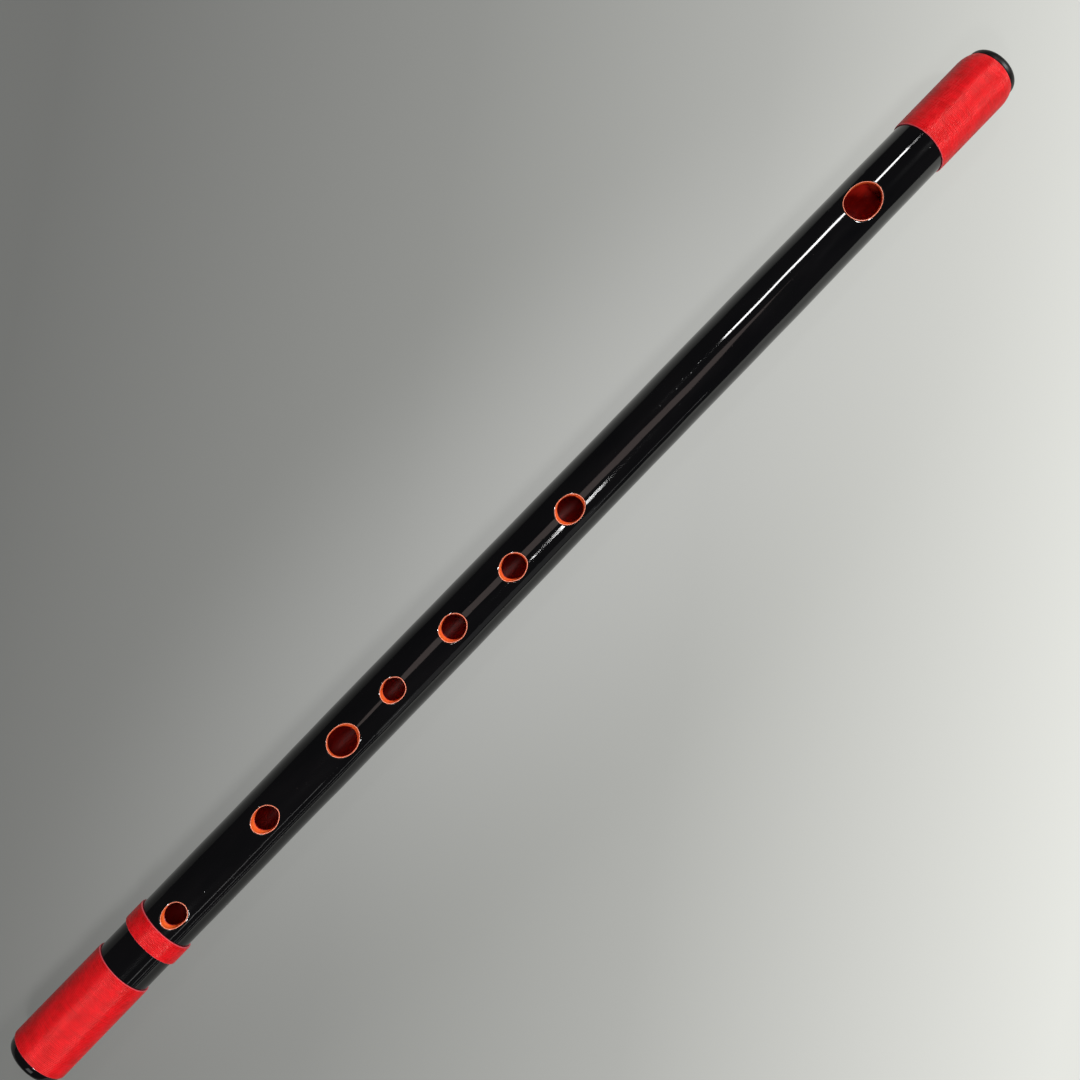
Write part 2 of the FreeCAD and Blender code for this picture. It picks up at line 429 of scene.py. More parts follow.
@dataclass(frozen=True)
class RedThread:
    """Twisted thread dyed red and rubbed with a little lacquer: satin, slightly uneven in its dye.

    The glosses of the turns join into one bright band that runs along the tube.
    """

    name: str = "red_thread"
    deep: str = "#CF060F"
    bright: str = "#E80D1B"
    # painted highlight: the paler colour of the end turns' outer flanks
    edge: str = "#D8505C"
    gloss: str = "#FFA8A0"
    refraction: float = 1.5
    gloss_level: float = 0.9
    roughness: float = 0.36
    across_share: float = 0.85
    ply_mm: float = 0.45
    dye_mm: float = 9.0
    patch_mm: float = 4.0
    ply_depth_mm: float = 0.05
    ply_strength: float = 0.6
    dye_share: float = 0.3
    gloss_turn: float = 0.25

    def material(self) -> Material:
        """Builds the finish on the thread's own map: millimetres along it, turns around it.

        The plies are stripes of the sum of both, so they wind about the thread as they run along it.

        Returns:
            The material.
        """
        material, tree = new_material(self.name)
        own = add_node(tree, "UVMap", {"uv_map": "along_and_around"})
        parts = add_node(tree, "SeparateXYZ", links={0: own.outputs["UV"]})
        along = add_node(tree, "Math", {"operation": "DIVIDE", 1: self.ply_mm},
                       {0: parts.outputs["X"]})
        twist = add_node(tree, "Math", {"operation": "ADD"},
                         {0: along.outputs[0], 1: parts.outputs["Y"]})
        phase = add_node(tree, "Math", {"operation": "MULTIPLY", 1: FULL_TURN},
                         {0: twist.outputs[0]})
        plies = add_node(tree, "Math", {"operation": "SINE"}, {0: phase.outputs[0]})
        far = add_node(tree, "Math", {"operation": "DIVIDE", 1: self.dye_mm},
                       {0: parts.outputs["X"]})
        dye = add_node(tree, "TexNoise", {"noise_dimensions": "1D", "Scale": 1.0, "Detail": 1.0},
                       {"W": far.outputs[0]})
        patch = object_noise(tree, (self.patch_mm,) * 3, detail=3.0, roughness=0.6)
        both = add_node(tree, "Math", {"operation": "MULTIPLY_ADD", 1: self.dye_share},
                        {0: dye.outputs["Fac"], 2: patch})
        body = add_node(tree, "ValToRGB", {"stops": ((0.5, self.deep), (0.8, self.bright))},
                        {"Fac": both.outputs[0]})
        # painted highlight on the outer flank of each end turn
        end = add_node(tree, "Attribute", {"attribute_name": "end_turn"})
        colour = add_node(tree, "Mix", {"data_type": "RGBA", 7: linear_colour(self.edge)},
                          {0: end.outputs["Fac"], 6: body.outputs["Color"]})
        lay = add_node(tree, "Tangent", {"direction_type": "UV_MAP", "uv_map": "along_and_around"})
        finish_shader(tree, {"IOR": self.refraction, "Roughness": self.roughness,
                             "Specular IOR Level": self.gloss_level,
                             "Specular Tint": linear_colour(self.gloss),
                             "Anisotropic": self.across_share, "Anisotropic Rotation": self.gloss_turn},
                      {"Base Color": colour.outputs[2], "Tangent": lay.outputs["Tangent"]},
                      plies.outputs[0], self.ply_depth_mm, self.ply_strength)
        return material


@dataclass(frozen=True)
class CapLacquer:
    """Black lacquer on turned wood, thinner than the tube's: satin, with the turning just showing."""

    name: str = "cap_lacquer"
    deep: str = "#080707"
    worn: str = "#1A1412"
    refraction: float = 1.33
    roughness: float = 0.42
    turning_mm: Triple = (0.4, 6.0, 6.0)
    turning_depth_mm: float = 0.02
    turning_strength: float = 0.5
    worn_mm: Triple = (3.0, 3.0, 3.0)

    def material(self) -> Material:
        """Builds the finish.

        Returns:
            The material.
        """
        material, tree = new_material(self.name)
        turning = object_noise(tree, self.turning_mm, detail=2.0)
        worn = object_noise(tree, self.worn_mm, detail=4.0, roughness=0.6)
        colour = add_node(tree, "ValToRGB", {"stops": ((0.45, self.deep), (0.8, self.worn))},
                          {"Fac": worn})
        finish_shader(tree, {"IOR": self.refraction, "Roughness": self.roughness},
                      {"Base Color": colour.outputs["Color"]}, turning, self.turning_depth_mm,
                      self.turning_strength)
        return material


@dataclass(frozen=True)
class FibrousSolid:
    """A dry natural solid whose colour comes from fibres or grains: culm, cork, paper or wax."""

    name: str
    light: str
    dark: str
    grain_mm: Triple
    roughness: float
    depth_mm: float
    grain_strength: float = 0.6

    def material(self) -> Material:
        """Builds the finish.

        Returns:
            The material.
        """
        material, tree = new_material(self.name)
        grain = object_noise(tree, self.grain_mm, detail=4.0, roughness=0.6)
        colour = add_node(tree, "ValToRGB", {"stops": ((0.3, self.dark), (0.7, self.light))},
                          {"Fac": grain})
        finish_shader(tree, {"Roughness": self.roughness}, {"Base Color": colour.outputs["Color"]},
                      grain, self.depth_mm, self.grain_strength)
        return material


class HiddenFinish(Enum):
    """Finishes of the pieces inside the tube, by the name of their slot."""

    BAMBOO = FibrousSolid("bamboo", "#D8B878", "#B08A50", (30.0, 0.4, 0.4), 0.55, 0.05)
    BEESWAX = FibrousSolid("beeswax", "#9C2A14", "#6E180C", (3.0, 3.0, 3.0), 0.42, 0.05)
    CORK = FibrousSolid("cork", "#B98A5A", "#8A5E36", (1.2, 1.2, 1.2), 0.8, 0.15)
    PAPER = FibrousSolid("paper", "#E4DCC4", "#CDBF9E", (8.0, 0.2, 0.2), 0.85, 0.04)


# --- The tube


@dataclass(frozen=True)
class Hole:
    """One hand-cut hole, in millimetres: an oval whose ends and sides lean on the way to the bore."""

    node: str
    x: float
    length: float
    width: float
    foot_lean: float
    head_lean: float
    stray: float
    seed: int
    side_lean: float = 0.3
    knife_wander: float = 0.07
    settling_steps: int = 6

    def wander(self, turn: np.ndarray) -> np.ndarray:
        """How far the knife strayed outwards, by the angle about the hole.

        Formula: the sum for k from 2 to 6 of wander / k^0.7 * cos(k turn + phase), with random phases.

        Args:
            turn: angle about the hole from +X towards +Y, in radians.

        Returns:
            Millimetres outwards.
        """
        rng = np.random.default_rng(self.seed)
        total = np.zeros_like(turn)
        for lobes in range(2, 7):
            phase = rng.uniform(0, FULL_TURN)
            total = total + self.knife_wander / lobes**0.7 * np.cos(lobes * turn + phase)
        return total

    def outline(self, turn: np.ndarray, height: np.ndarray, growth: np.ndarray | float,
                tube: "Tube") -> tuple[np.ndarray, np.ndarray]:
        """The hole's edge at a height above the tube's axis.

        Formula: x = centre + along cos(turn), y = stray + across sin(turn), where centre, along and
        across change in a straight line with depth, and the knife's wander adds to both half axes.

        Args:
            turn: angle about the hole, in radians.
            height: millimetres above the axis, one for each angle.
            growth: millimetres that the oval is grown sideways.
            tube: the tube that the hole is cut in.

        Returns:
            Distances from the foot end and across the tube, in millimetres.
        """
        depth = (tube.radius - height) / (tube.radius - tube.bore_radius)
        low = self.x - self.length / 2 + self.foot_lean * depth - growth
        high = self.x + self.length / 2 - self.head_lean * depth + growth
        across = self.width / 2 - self.side_lean * depth + growth
        wander = self.wander(turn)
        x = (low + high) / 2 + ((high - low) / 2 + wander) * np.cos(turn)
        y = self.stray + (across + wander) * np.sin(turn)
        return x, y

    def edge_on(self, turn: np.ndarray, radius: Any, growth: np.ndarray | float,
                tube: "Tube") -> tuple[np.ndarray, np.ndarray, np.ndarray]:
        """Where the hole's wall meets a round surface about the tube's axis.

        Formula: height = sqrt(radius^2 - y^2), and the outline is read again there until it settles.

        Args:
            turn: angle about the hole, in radians.
            radius: a function of x, in millimetres, or a number or array.
            growth: millimetres that the oval is grown sideways.
            tube: the tube that the hole is cut in.

        Returns:
            Distances from the foot end, across the tube and above its axis, in millimetres.
        """
        height = np.full(np.shape(turn), tube.radius - 1.0)
        x, y = self.outline(turn, height, growth, tube)
        for _ in range(self.settling_steps):
            size = radius(x) if callable(radius) else radius
            height = np.sqrt(np.maximum(size**2 - y**2, 1.0))
            x, y = self.outline(turn, height, growth, tube)
        return x, y, height


@dataclass(frozen=True)
class Tube:
    """The culm's sizes in millimetres, and where it lies in the frame in metres."""

    foot_x: float
    axis_z: float
    length: float = 450.5
    speaking_length: float = 380.6
    radius: float = 10.05
    bore_radius: float = 6.9
    foot_radius: float = 9.725
    head_radius: float = 9.925
    lip_length: float = 3.0
    lip_depth: float = 1.3
    shoulder_length: float = 4.5
    shoulder_depth: float = 1.0
    cap_length: float = 3.2
    outer_coat: float = 0.25
    bore_coat: float = 0.30
    hole_coat: float = 0.30
    foot_seat_end: float = 63.45
    head_seat_start: float = 406.4
    lining_end: float = 393.6
    culm_waves_mm: tuple[float, ...] = (83.0, 47.0, 31.0, 19.0)
    culm_wave_height: float = 0.02
    bare_start: float = 44.0
    bare_rise: float = 30.0
    bare_end: float = 411.4
    bare_fall: float = 20.0
    seed: int = 4

    @property
    def end(self) -> float:
        """Where the tube stops and the cap begins."""
        return self.length - self.cap_length

    def place(self, x: np.ndarray, y: np.ndarray, height: np.ndarray) -> np.ndarray:
        """Turns millimetres from the foot end, across and above the axis into frame points.

        Args:
            x: distance from the foot end.
            y: distance across, towards +Y.
            height: distance above the axis.

        Returns:
            Points in metres, one row each.
        """
        x, y, height = np.broadcast_arrays(x, y, height)
        points = np.stack([self.foot_x + x * MM, y * MM, self.axis_z + height * MM], axis=-1)
        return points.reshape(-1, 3)

    def place_round(self, x: np.ndarray, radius: np.ndarray, turn: np.ndarray) -> np.ndarray:
        """Frame points about the axis: y = radius sin(turn), height = radius cos(turn)."""
        return self.place(x, radius * np.sin(turn), radius * np.cos(turn))

    def side_radius(self, x: np.ndarray) -> np.ndarray:
        """The lacquered side's radius: the smooth curve through the culm's small swells.

        Args:
            x: distance from the foot end, in millimetres.

        Returns:
            The radius in millimetres.
        """
        stops = np.array([self.foot_seat_end, 125.0, self.speaking_length - 110.0,
                          self.speaking_length - 35.0, self.head_seat_start])
        change = np.array([self.foot_radius - self.radius, 0.025, -0.025, 0.1,
                           self.head_radius - self.radius])
        return self.radius + clamped_spline(stops, change, np.asarray(x, float))

    def drop(self, x: np.ndarray) -> np.ndarray:
        """How far the shoulder has fallen: the arc that leaves level and falls by shoulder_depth.

        Args:
            x: distance from the foot end, in millimetres.

        Returns:
            The fall in millimetres.
        """
        ball = (self.shoulder_length**2 + self.shoulder_depth**2) / (2 * self.shoulder_depth)
        run = np.clip(x - (self.end - self.shoulder_length), 0.0, self.shoulder_length)
        return ball - np.sqrt(ball**2 - run**2)

    def skin(self, x: np.ndarray, turn: np.ndarray) -> np.ndarray:
        """The lacquer's radius with the culm's faint waves, which die out under the bindings.

        Args:
            x: distance from the foot end, in millimetres.
            turn: angle about the axis from +Z towards +Y.

        Returns:
            The radius in millimetres.
        """
        rng = np.random.default_rng(self.seed)
        bare = (np.clip((x - self.bare_start) / self.bare_rise, 0, 1)
                * np.clip((self.bare_end - x) / self.bare_fall, 0, 1))
        long_waves = waves(x, turn, rng, self.culm_waves_mm, self.culm_wave_height)
        return self.side_radius(x) - self.drop(x) + bare * long_waves


@dataclass(frozen=True)
class Window:
    """A block of a tube's grid that a hole replaces: rows first to last, columns first to last."""

    first_row: int
    last_row: int
    first_column: int
    last_column: int


class WindowedTube:
    """A round skin on a grid of stations and angles, with a ring of finer faces about each hole."""

    def __init__(self, stations: np.ndarray, columns: int, radius: Any, tube: Tube, growth: float,
                 margin: float = 1.3, rings: int = 5) -> None:
        """Sets out the grid.

        Args:
            stations: increasing distances from the foot end, in millimetres.
            columns: how many angles, counted from straight down so that the seam is underneath.
            radius: the skin's radius as a function of station and angle, in millimetres.
            tube: the tube that it belongs to.
            growth: how far the holes are grown, in millimetres.
            margin: the least plain skin kept between a hole and its block's edge, in millimetres.
            rings: how many rings of faces lie between a hole and its block's edge.
        """
        self.stations = stations
        self.columns = columns
        self.turns = -math.pi + FULL_TURN * np.arange(columns) / columns
        self.radius = radius
        self.tube = tube
        self.growth = growth
        self.margin = margin
        self.rings = rings

    def edge(self, hole: Hole, turn: np.ndarray) -> tuple[np.ndarray, np.ndarray, np.ndarray]:
        """Where a hole cuts the skin, whose radius is read on the line of the holes."""
        return hole.edge_on(turn, lambda s: self.radius(s, np.zeros_like(s)), self.growth, self.tube)

    def window(self, hole: Hole) -> Window:
        """Finds the block of the grid that clears a hole by the margin.

        Args:
            hole: the hole.

        Returns:
            The block.
        """
        x, y, height = self.edge(hole, np.linspace(0, FULL_TURN, 90))
        angle = np.arctan2(y, height)
        spare = self.margin / self.tube.bore_radius
        first_row = int(np.searchsorted(self.stations, x.min() - self.margin)) - 1
        last_row = int(np.searchsorted(self.stations, x.max() + self.margin))
        first_column = int(np.searchsorted(self.turns, angle.min() - spare)) - 1
        last_column = int(np.searchsorted(self.turns, angle.max() + spare))
        return Window(first_row, last_row, first_column, last_column)

    def boundary(self, window: Window) -> tuple[np.ndarray, np.ndarray]:
        """Walks round a block of the grid.

        Args:
            window: the block.

        Returns:
            The rows and the columns of the points on its border, in order, each point once.
        """
        rows = np.arange(window.first_row, window.last_row + 1)
        columns = np.arange(window.first_column, window.last_column + 1)
        around_rows = np.concatenate([rows, np.full(len(columns) - 1, rows[-1]), rows[-2::-1],
                                      np.full(len(columns) - 2, rows[0])])
        around_columns = np.concatenate([np.full(len(rows), columns[0]), columns[1:],
                                         np.full(len(rows) - 1, columns[-1]), columns[-2:0:-1]])
        return around_rows, around_columns

    def build(self, holes: list[Hole], outward: bool) -> Surface:
        """Builds the skin.

        Formula of the plain skin: x = station, y = r sin(turn), z = r cos(turn). About a hole, a point
        at share w lies w of the way from the hole's edge to the block's edge in station and angle.

        Args:
            holes: the holes that cut the skin.
            outward: whether the faces point away from the axis.

        Returns:
            The skin, open at both ends and at the holes.
        """
        rows = len(self.stations)
        station, turn = np.meshgrid(self.stations, self.turns, indexing="ij")
        faces = grid_faces(rows, self.columns, False, True)
        row, column = faces[:, 0] // self.columns, faces[:, 0] % self.columns
        keep = np.ones(len(faces), bool)
        all_x, all_turn, extra = [station.ravel()], [turn.ravel()], []
        count = station.size
        for hole in holes:
            block = self.window(hole)
            keep &= ~((row >= block.first_row) & (row < block.last_row)
                      & (column >= block.first_column) & (column < block.last_column))
            edge_rows, edge_columns = self.boundary(block)
            edge_x, edge_turn = self.stations[edge_rows], self.turns[edge_columns]
            around = np.arctan2((edge_turn * self.tube.radius - hole.stray) / hole.width,
                                (edge_x - hole.x) / hole.length)
            x, y, height = self.edge(hole, around)
            angle = np.arctan2(y, height)
            share = (np.arange(self.rings) / self.rings)[:, None] ** 1.3
            all_x.append((x + (edge_x - x) * share).ravel())
            all_turn.append((angle + (edge_turn - angle) * share).ravel())
            loop = len(edge_rows)
            ids = np.concatenate([count + np.arange(self.rings * loop),
                                  edge_rows * self.columns + edge_columns])
            extra.append(ids[grid_faces(self.rings + 1, loop, False, True)])
            count += self.rings * loop
        x, turn = np.concatenate(all_x), np.concatenate(all_turn)
        points = self.tube.place_round(x, self.radius(x, turn), turn)
        oriented = [self.facing(points, quads, outward) for quads in [faces[keep]] + extra]
        used, ids = np.unique(np.concatenate([q.ravel() for q in oriented]), return_inverse=True)
        sizes = np.cumsum([q.size for q in oriented])[:-1]
        packed = [part.reshape(-1, 4) for part in np.split(ids, sizes)]
        return Surface(points[used], packed)

    def facing(self, points: np.ndarray, quads: np.ndarray, outward: bool) -> np.ndarray:
        """Turns every quad of a group the same way.

        Args:
            points: the skin's points.
            quads: the group.
            outward: whether the faces are to point away from the tube's axis or towards it.

        Returns:
            The group, turned.
        """
        a, b, c = points[quads[:, 0]], points[quads[:, 1]], points[quads[:, 2]]
        normal = np.cross(b - a, c - a)
        away = (a + c) / 2 - np.array([0.0, 0.0, self.tube.axis_z])
        away[:, 0] = 0.0
        points_out = np.sum(normal * away, axis=1) > 0
        return np.where((points_out == outward)[:, None], quads, quads[:, ::-1])


# --- Sub-assemblies


def adopt(piece: Object, material: Material, slot: str, *nodes: str) -> None:
    """Dresses a new piece, fixes it to the flute and lets it stand for CAD nodes.

    Args:
        piece: the new piece.
        material: its finish.
        slot: the record's material slot; not used.
        nodes: the CAD nodes that it replaces.
    """
    piece.data.materials.append(material)
    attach(piece, BODY)
    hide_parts(*nodes)
    log.info("%s: %d points for %s", piece.name, len(piece.data.vertices), ", ".join(nodes))


@dataclass
class LacqueredCulm:
    """The tube's black coat, its red lining and the eight painted hole walls."""

    tube: Tube
    holes: list[Hole]
    outer_step: float = 1.5
    outer_columns: int = 120
    lining_step: float = 2.0
    lining_columns: int = 96
    rim_points: int = 192
    lip_rows: int = 14
    shoulder_rows: int = 7
    face_rings: int = 5
    coat_lap: float = 0.10
    rim_width: float = 0.24
    rim_height: float = 0.08
    wall_bow: float = 0.06

    def outer_stations(self) -> np.ndarray:
        """Sets the black coat's stations: close together on the lip and shoulder, even between.

        Returns:
            Distances from the foot end, in millimetres.
        """
        lip = self.tube.lip_length * (1 - np.cos(np.linspace(0, math.pi / 2, self.lip_rows)))
        shoulder_start = self.tube.end - self.tube.shoulder_length
        steps = int(round((shoulder_start - self.tube.lip_length) / self.outer_step))
        side = np.linspace(self.tube.lip_length, shoulder_start, steps + 1)
        shoulder = np.linspace(side[-1], self.tube.end, self.shoulder_rows)
        return np.concatenate([lip, side[1:], shoulder[1:]])

    def outer_radius(self, x: np.ndarray, turn: np.ndarray) -> np.ndarray:
        """The black coat's radius, falling over the foot's lip on a quarter of an ellipse.

        Args:
            x: distance from the foot end, in millimetres.
            turn: angle about the axis.

        Returns:
            The radius in millimetres.
        """
        run = np.clip(1 - x / self.tube.lip_length, 0, 1)
        lip = self.tube.lip_depth * (1 - np.sqrt(1 - run**2))
        return self.tube.skin(x, turn) - lip

    def foot_face(self, skin: Surface, turns: np.ndarray) -> Surface:
        """Adds the flat of the foot end: rings from the lip in to the bore.

        Args:
            skin: the coat so far, whose first points are the ring at the foot.
            turns: the angles of that ring.

        Returns:
            The coat with its foot end.
        """
        rings = np.linspace(self.tube.foot_radius - self.tube.lip_depth, self.tube.bore_radius,
                            self.face_rings)[1:]
        columns = len(turns)
        radius, around = np.meshgrid(rings, turns, indexing="ij")
        face = self.tube.place_round(0 * radius, radius, around)
        start = len(skin.points)
        ids = np.concatenate([np.arange(columns), start + np.arange(len(face))])
        quads = ids[grid_faces(len(rings) + 1, columns, False, True)]
        points = np.concatenate([skin.points, face])
        a, b, c = points[quads[0, 0]], points[quads[0, 1]], points[quads[0, 2]]
        if np.cross(b - a, c - a)[0] > 0:
            quads = quads[:, ::-1]
        return Surface(points, skin.faces + [quads])

    def black_coat(self, finish: BlackLacquer) -> None:
        """Builds the polished coat over the side and the foot end.

        Args:
            finish: its lacquer.
        """
        grid = WindowedTube(self.outer_stations(), self.outer_columns, self.outer_radius, self.tube,
                            self.coat_lap)
        skin = self.foot_face(grid.build(self.holes, outward=True), grid.turns)
        piece = skin.to_object("black_coat")
        add_shell(piece, self.tube.outer_coat * MM)
        adopt(piece, finish.material(), "black_lacquer", "outer_lacquer")

    def lining(self, finish: VermilionLacquer) -> None:
        """Builds the red coat in the bore, from the foot to the seal.

        Args:
            finish: its lacquer.
        """
        steps = int(round(self.tube.lining_end / self.lining_step))
        stations = np.linspace(self.tube.outer_coat, self.tube.lining_end, steps + 1)
        grid = WindowedTube(stations, self.lining_columns, lambda x, turn: self.tube.bore_radius + 0 * x,
                            self.tube, 0.0)
        piece = grid.build(self.holes, outward=False).to_object("bore_lining")
        add_shell(piece, self.tube.bore_coat * MM)
        adopt(piece, finish.material(), "red_lacquer", "bore_lacquer")

    def rim_profile(self) -> tuple[np.ndarray, np.ndarray, np.ndarray, np.ndarray]:
        """The section of a hole's coat, closed: up its back, over the rim, down the wall and under it.

        Formula: each point has a share of the wall's depth, 0 at the lacquer and 1 at the lining, a
        lift above that, and a growth outwards from the hole. The rim is a half ellipse, rim_height tall.

        Returns:
            Depth shares, lifts in millimetres, growths in millimetres and how much painted rim highlight
            each point carries.
        """
        coat = self.tube.hole_coat
        arc = np.linspace(0, math.pi, 11)
        level = np.zeros(len(arc))
        half = self.rim_width / 2
        rim_growth = self.coat_lap - half + half * np.cos(arc)
        rim_lift = self.rim_height * np.sin(arc)
        wall = np.linspace(0.04, 1.0, 12)
        back = np.array([1.0, 0.5, 0.12])
        depth = np.concatenate([back, level, wall])
        lift = np.concatenate([0 * back, rim_lift, 0 * wall])
        fall = np.clip(wall / 0.5, 0, 1)
        inner = (self.coat_lap - self.rim_width) * (1 - fall) + self.wall_bow * np.sin(math.pi * wall)
        growth = np.concatenate([0 * back + coat, rim_growth, inner])
        # painted highlight mask: 1 at the crest of the rim's bead, 0 on the back and down the wall
        rim = np.concatenate([0 * back, np.sin(arc) ** 2, 0 * wall])
        return depth, lift, growth, rim

    def hole_coat(self, hole: Hole, material: Material) -> None:
        """Builds one hole's painted wall, a closed ring carried about the hole's outline.

        Formula: at angle t about the hole, a profile point stands on the round surface whose radius is
        skin - depth (skin - lining) + lift, where the outline grown by the point's growth meets it.

        Args:
            hole: the hole.
            material: the finish that all holes share.
        """
        depth, lift, growth, rim = self.rim_profile()
        turn = FULL_TURN * np.arange(self.rim_points) / self.rim_points
        depth, around = np.meshgrid(depth, turn, indexing="ij")
        lift, growth, rim = (np.broadcast_to(v[:, None], depth.shape) for v in (lift, growth, rim))
        floor = self.tube.bore_radius + self.tube.bore_coat

        def level(x: np.ndarray) -> np.ndarray:
            """The radius that each profile point stands on at x."""
            skin = self.tube.skin(x, np.zeros_like(x))
            return skin - depth * (skin - floor) + lift

        x, y, height = hole.edge_on(around, level, growth, self.tube)
        faces = grid_faces(len(depth), self.rim_points, True, True)
        wall = Surface(self.tube.place(x, y, height), [faces], {"rim": rim.ravel()})
        adopt(wall.to_object(hole.node.replace("_coat", "_wall")), material, "hole_red", hole.node)

    def make(self) -> None:
        """Builds every coat."""
        self.black_coat(BlackLacquer())
        self.lining(VermilionLacquer())
        vermilion = HoleVermilion().material()
        for hole in self.holes:
            self.hole_coat(hole, vermilion)


@dataclass
class ThreadBinding:
    """Thread wound side by side over a stretch of the tube, each turn pressed against the last."""

    node: str
    name: str
    tube: Tube
    start: float
    end: float
    height: float
    seed: int
    thinning: float = 0.0
    pitch: float = 0.5
    steps_per_turn: int = 96
    section_points: int = 8
    crest: float = 0.5
    uneven: float = 0.02
    half_width_share: float = 0.54
    dive_turns: float = 0.06
    # how far in and how far round the end turns' painted highlight reaches
    highlight_turns: float = 0.95
    highlight_side: float = 0.3
    wander_cycles: tuple[float, ...] = (0.13, 0.31, 0.57, 0.93, 1.7)
    fade_turns: float = 2.0
    bulge_height: float = 0.02
    bulge_cycles: float = 2.37

    def seat(self, x: np.ndarray) -> np.ndarray:
        """The radius that the thread lies on."""
        return self.tube.side_radius(x) - self.tube.drop(x)

    def winding(self) -> Surface:
        """The thread as one long tube wound on a helix.

        Formula: along the thread, turn = 2 pi s and x = start + half a thread + pitch s + a slow seeded
        wander; the section is an ellipse in the plane of the axis with its crest pressed flat, just over
        a pitch wide and the binding's height tall, stood on the seat and tilted with it. Across it the
        rise follows sine to the power crest. Its ends dive into the tube.

        Returns:
            The thread with its own map and the outer flanks of its end turns marked for a painted
            highlight.
        """
        half_width = self.pitch * self.half_width_share
        run = self.end - self.start - 2 * half_width
        turns = round(run / self.pitch)
        count = turns * self.steps_per_turn + 1
        s = np.linspace(0, turns, count)
        rng = np.random.default_rng(self.seed)
        wander = np.zeros(count)
        for cycles in self.wander_cycles:
            wander += self.uneven / 3 * np.sin(FULL_TURN * (cycles * s + rng.uniform()))
        fade = np.clip(np.minimum(s, turns - s) / self.fade_turns, 0, 1)
        x = self.start + half_width + run / turns * s + wander * fade
        slope = (self.seat(x + 0.01) - self.seat(x - 0.01)) / 0.02
        tilt = np.arctan(slope)
        ends = np.clip(np.minimum(s, turns - s) / self.dive_turns, 0, 1)
        shoulder_start = self.tube.end - self.tube.shoulder_length
        share = np.clip((x - shoulder_start) / self.tube.shoulder_length, 0, 1)
        height = self.height - self.thinning * share
        swell = np.sin(FULL_TURN * (self.bulge_cycles * s + rng.uniform()))
        bulge = self.bulge_height * swell * fade
        centre = self.seat(x) + height / 2 - (1 - np.sqrt(1 - (1 - ends) ** 2)) * height
        section = FULL_TURN * np.arange(self.section_points) / self.section_points
        rise = np.sign(np.sin(section)) * np.abs(np.sin(section)) ** self.crest
        out = (height[:, None] / 2 + bulge[:, None]) * rise
        side = half_width * np.cos(section)
        radius = centre[:, None] + out * np.cos(tilt)[:, None] + side * np.sin(tilt)[:, None]
        station = x[:, None] + side * np.cos(tilt)[:, None] - out * np.sin(tilt)[:, None]
        points = self.tube.place_round(station, radius, (FULL_TURN * s)[:, None] + math.pi)
        faces = grid_faces(count, self.section_points, False, True)
        first = np.arange(self.section_points)
        last = (count - 1) * self.section_points + first
        # painted highlight mask: the flank of each end turn that faces out past the binding's end
        outermost = np.where(s < turns / 2, -np.cos(section)[:, None], np.cos(section)[:, None]).T
        near_end = np.minimum(s, turns - s)[:, None] < self.highlight_turns
        end_turn = near_end & (outermost > self.highlight_side)
        values = {"end_turn": end_turn.astype(float).ravel()}
        along = s * FULL_TURN * self.tube.radius
        row, column = faces[:, 0] // self.section_points, faces[:, 0] % self.section_points
        step = 1.0 / self.section_points
        u = np.stack([along[row], along[row], along[row + 1], along[row + 1]], axis=1)
        v = np.stack([column * step, (column + 1) * step, (column + 1) * step, column * step], axis=1)
        side_uv = np.stack([u, v], axis=-1).reshape(-1, 2)
        cap_uv = np.zeros((2 * self.section_points, 2))
        return Surface(points, [faces, first[None, ::-1], last[None, :]], values,
                       np.concatenate([side_uv, cap_uv]))

    def make(self, material: Material) -> None:
        """Builds and dresses the binding."""
        adopt(self.winding().to_object(self.name), material, "red_thread", self.node)


